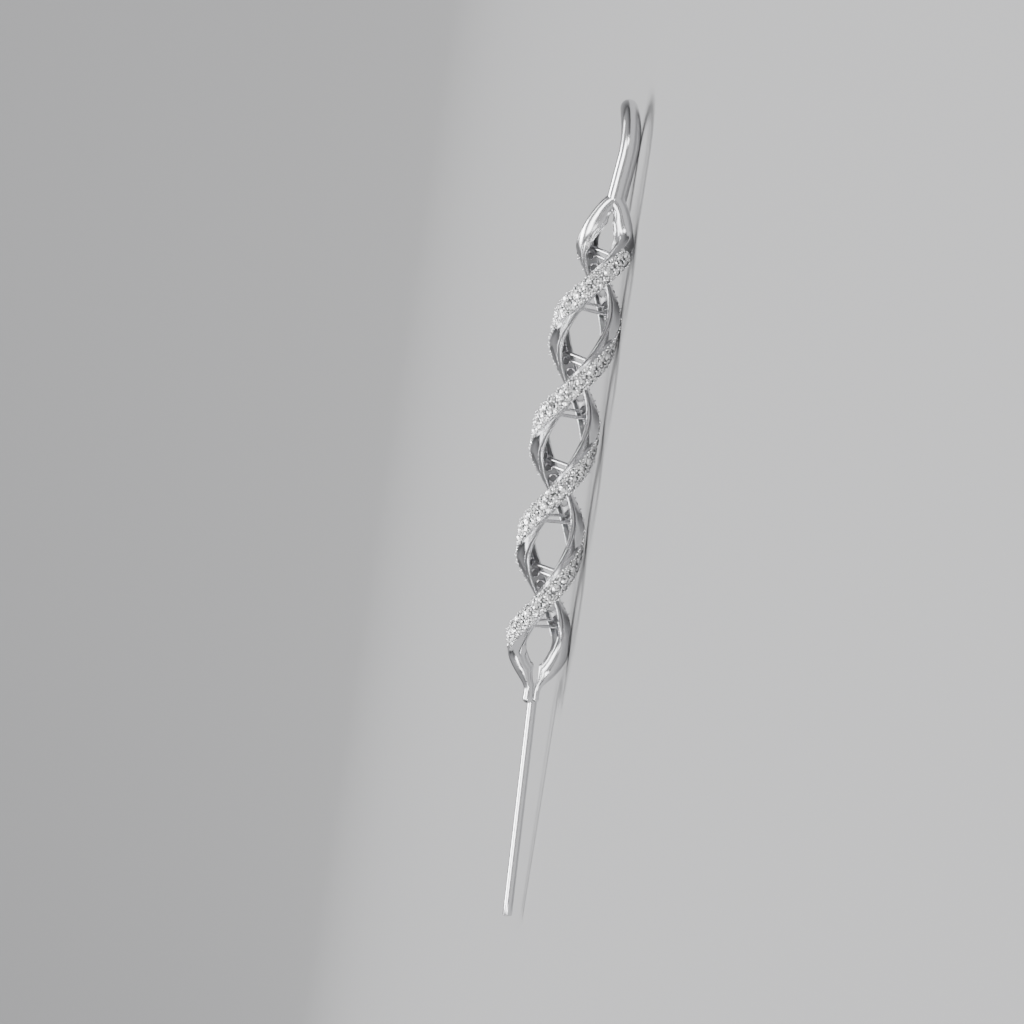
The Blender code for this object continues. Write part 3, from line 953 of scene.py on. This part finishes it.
bm = bmesh.new()
bmesh.ops.create_icosphere(bm, subdivisions=2, radius=1)
bead = template("bead", bm)
for letter, turn in STRANDS:
    places = []
    for i, height in enumerate(evenly_along(turn, STONE_FACE, BAND_MARGIN, len(GRAIN_ROUND))):
        for aside, radius in GRAIN_ROUND[i % len(GRAIN_ROUND)]:
            place = on_band(height, turn, aside * MM, STONE_FACE + GRAIN_LIFT)
            places.append((*place, [radius * MM] * 3))
    set_out(
        f"grains_{letter}",
        places,
        bead,
        grain.material,
        [f"pave_band_{letter}"],
        spread=GRAIN_SPREAD,
        seed=GRAIN_SEED,
    )

# %% [markdown]
# ## Drilled holes behind the stones
#
# A setter drills through behind each stone, so that light gets in. On the inside of the strand
# each hole shows as a small bright collar round a dark disc, the hole's painted shadow. Both are
# turned shapes: a profile spun round Z. A Screw modifier could do it too, but a short function
# also closes both poles.


# %% Collar and painted hole shadow
COLLAR_RISE = ((0, 0.02), (0.3, 0.02), (0.32, 0.16), (0.36, 0.2))
COLLAR_PROFILE = COLLAR_RISE + ((0.42, 0.16), (0.46, 0), (0, 0))
SHADOW_DISC_PROFILE = ((0, 0.06), (0.31, 0.06), (0.31, 0), (0, 0))
HOLE_SIDES, HOLE_MARGIN, HOLE_LIFT = 24, 1.5 * BAND_MARGIN, 0.01 * MM


def turned_shape(name, profile):
    """Turn a profile of (radius, height) points round Z; both of its ends lie on the axis."""
    bm = bmesh.new()
    tops = [bm.verts.new((0, 0, height)) for radius, height in (profile[0], profile[-1])]
    turns = [2 * math.pi * k / HOLE_SIDES for k in range(HOLE_SIDES)]
    rings = []
    for radius, height in profile[1:-1]:
        ring = [(radius * math.cos(t), radius * math.sin(t), height) for t in turns]
        rings.append([bm.verts.new(point) for point in ring])
    for k in range(HOLE_SIDES):
        j = (k + 1) % HOLE_SIDES
        bm.faces.new((tops[0], rings[0][k], rings[0][j]))
        for lower, upper in zip(rings, rings[1:]):
            bm.faces.new((lower[k], upper[k], upper[j], lower[j]))
        bm.faces.new((tops[1], rings[-1][j], rings[-1][k]))
    return template(name, bm, smooth_angle=40)


collar = turned_shape("collar", COLLAR_PROFILE)
dark_disc = turned_shape("dark_disc", SHADOW_DISC_PROFILE)
for letter, turn in STRANDS:
    places = []
    for height in evenly_along(turn, -DEEP, HOLE_MARGIN):
        centre, outward, _, along = strand_frame(height, turn)
        floor = GROOVE * smooth_step(GROOVE_RATE * opening_share(height)) - inner_reach(height)
        places.append((centre + outward * (floor + HOLE_LIFT), -outward, along, [MM] * 3))
    set_out(f"hole_collars_{letter}", places, collar, polished.material, ["cuff_frame"])
    # The dark discs are painted shadow in the holes.
    set_out(f"hole_hollows_{letter}", places, dark_disc, hole_shadow.material, ["cuff_frame"])

for shape in (rod, cut_stone, bead, collar, dark_disc):
    bpy.data.objects.remove(shape)

# %% [markdown]
# ## Camera
#
# The photograph looks at the front of the worn cuff from a little above and to its right. The
# cuff lies on its side here, so the camera is placed in the worn frame and then laid down with
# it, which keeps the same view. It stands far off with a long lens, so that little perspective
# shows. Moving it by the offset of the aimed pixel puts the cuff where the photograph has it.

# %% Camera
VIEW_RIGHT, VIEW_UP, VIEW_ROLL = math.radians(3.0), math.radians(8.62), math.radians(9.33)
VIEW_DISTANCE = 300 * MM
PIXEL = 0.09 * MM
IMAGE_SIDE = 1024
AIM = Vector((0, 0, 23.05 * MM))
AIM_PIXEL = (572.25, 455.96)
CLIP_START, CLIP_END = 10 * MM, 20

flat = math.cos(VIEW_UP)
towards = (math.sin(VIEW_RIGHT) * flat, -math.cos(VIEW_RIGHT) * flat, math.sin(VIEW_UP))
towards = Vector(towards)
level = Vector((0, 0, 1)).cross(towards).normalized()
upright = towards.cross(level)
picture_right = level * math.cos(VIEW_ROLL) + upright * math.sin(VIEW_ROLL)
picture_up = upright * math.cos(VIEW_ROLL) - level * math.sin(VIEW_ROLL)
off_right = (AIM_PIXEL[0] - IMAGE_SIDE / 2) * PIXEL
off_up = (IMAGE_SIDE / 2 - AIM_PIXEL[1]) * PIXEL
eye = AIM + towards * VIEW_DISTANCE - picture_right * off_right - picture_up * off_up
lens = bpy.data.cameras.new("photo_lens")
lens.lens = lens.sensor_width * VIEW_DISTANCE / (PIXEL * IMAGE_SIDE)
lens.clip_start, lens.clip_end = CLIP_START, CLIP_END
camera = bpy.data.objects.new("photo_camera", lens)
look = Matrix((picture_right, picture_up, towards)).transposed().to_4x4()
camera.matrix_world = worn @ Matrix.Translation(eye) @ look
bpy.context.scene.collection.objects.link(camera)
bpy.context.scene.camera = camera
print("camera height over the table in mm:", round(camera.matrix_world.translation.z / MM, 1))

# %% [markdown]
# ## Studio
#
# A pale table curves up into a wall behind the cuff, so that no horizon shows. Polished metal
# looks best between large soft lights: one in front and above, one over the back, a long strip
# and two small ones low in front for the bright lines along the strands, and one for the wall.

# %% Table and wall
SWEEP_HALF, SWEEP_FRONT, SWEEP_DEPTH = 1.5, -2.0, 0.5
SWEEP_RADIUS, SWEEP_RISE, SWEEP_STEPS = 0.5, 1.5, 24

paper = Finish("table_paper", (0.27, 0.27, 0.274), 0.0, 0.9)
bm = bmesh.new()
profile = [(SWEEP_FRONT, 0.0), (SWEEP_DEPTH, 0.0)]
for t in evenly(0, math.pi / 2, SWEEP_STEPS)[1:]:
    rise = SWEEP_RADIUS - SWEEP_RADIUS * math.cos(t)
    profile.append((SWEEP_DEPTH + SWEEP_RADIUS * math.sin(t), rise))
profile.append((SWEEP_DEPTH + SWEEP_RADIUS, SWEEP_RISE))
rows = [[bm.verts.new((x, y, z)) for y, z in profile] for x in (-SWEEP_HALF, SWEEP_HALF)]
for i in range(len(profile) - 1):
    bm.faces.new((rows[0][i], rows[1][i], rows[1][i + 1], rows[0][i + 1]))
sweep_mesh = bpy.data.meshes.new("table")
bmesh.ops.recalc_face_normals(bm, faces=bm.faces)
bm.to_mesh(sweep_mesh)
bm.free()
sweep_mesh.shade_smooth()
sweep_mesh.materials.append(paper.material)
table = bpy.data.objects.new("table", sweep_mesh)
bpy.context.scene.collection.objects.link(table)

# %% Lights
CUFF_PLACE, WALL_PLACE = (0, 0, 0), (0, 0.9, 0.2)
# Name, place, target, width, height and watts, in metres.
LIGHTS = (
    ("key", (-0.02, -0.42, 0.47), CUFF_PLACE, 0.8, 0.3, 7.0),
    ("top", (-0.1, 0.15, 0.6), CUFF_PLACE, 0.5, 0.2, 5.0),
    ("front_strip", (0.0, -0.9, 0.16), CUFF_PLACE, 1.6, 0.1, 0.5),
    ("front_left", (-0.5, -0.8, 0.2), CUFF_PLACE, 0.2, 0.25, 1.6),
    ("front_right", (0.55, -0.75, 0.25), CUFF_PLACE, 0.2, 0.25, 1.6),
    ("backdrop_light", (0.0, 0.3, 0.9), WALL_PLACE, 1.2, 0.3, 9.0),
)

for name, place, target, width, height, watts in LIGHTS:
    lamp = bpy.data.lights.new(name, "AREA")
    lamp.shape = "RECTANGLE"
    lamp.size, lamp.size_y, lamp.energy = width, height, watts
    holder = bpy.data.objects.new(name, lamp)
    aimed = (Vector(place) - Vector(target)).to_track_quat("Z", "Y").to_matrix().to_4x4()
    holder.matrix_world = Matrix.Translation(place) @ aimed
    bpy.context.scene.collection.objects.link(holder)
print("soft lights:", len(LIGHTS))

# %% [markdown]
# ## Sky
#
# Polished metal shows what stands round it. A sky that is dark at the horizon and grows lighter
# upwards gives every rounded piece a soft run of greys between its highlights. A picture of a
# real studio would do the same, but this one gradient needs no image.

# %% Sky
HORIZON, ZENITH = (0.03, 0.03, 0.032), (0.5, 0.5, 0.51)
GRADIENT_START, GRADIENT_END = -0.05, 0.75

world = bpy.data.worlds.new("studio")
bpy.context.scene.world = world
world.use_nodes = True
sky = Nodes(world.node_tree)
direction = sky.node("ShaderNodeTexCoord").outputs["Generated"]
upwards = sky.node("ShaderNodeSeparateXYZ", values={"Vector": direction}).outputs["Z"]
limits = {"Value": upwards, "From Min": GRADIENT_START, "From Max": GRADIENT_END}
rise = sky.node("ShaderNodeMapRange", {"interpolation_type": "SMOOTHSTEP"}, limits)
colour = sky.mix(rise.outputs["Result"], HORIZON, ZENITH)
sky.set(world.node_tree.nodes["Background"], {"Color": colour})
print("world:", world.name)
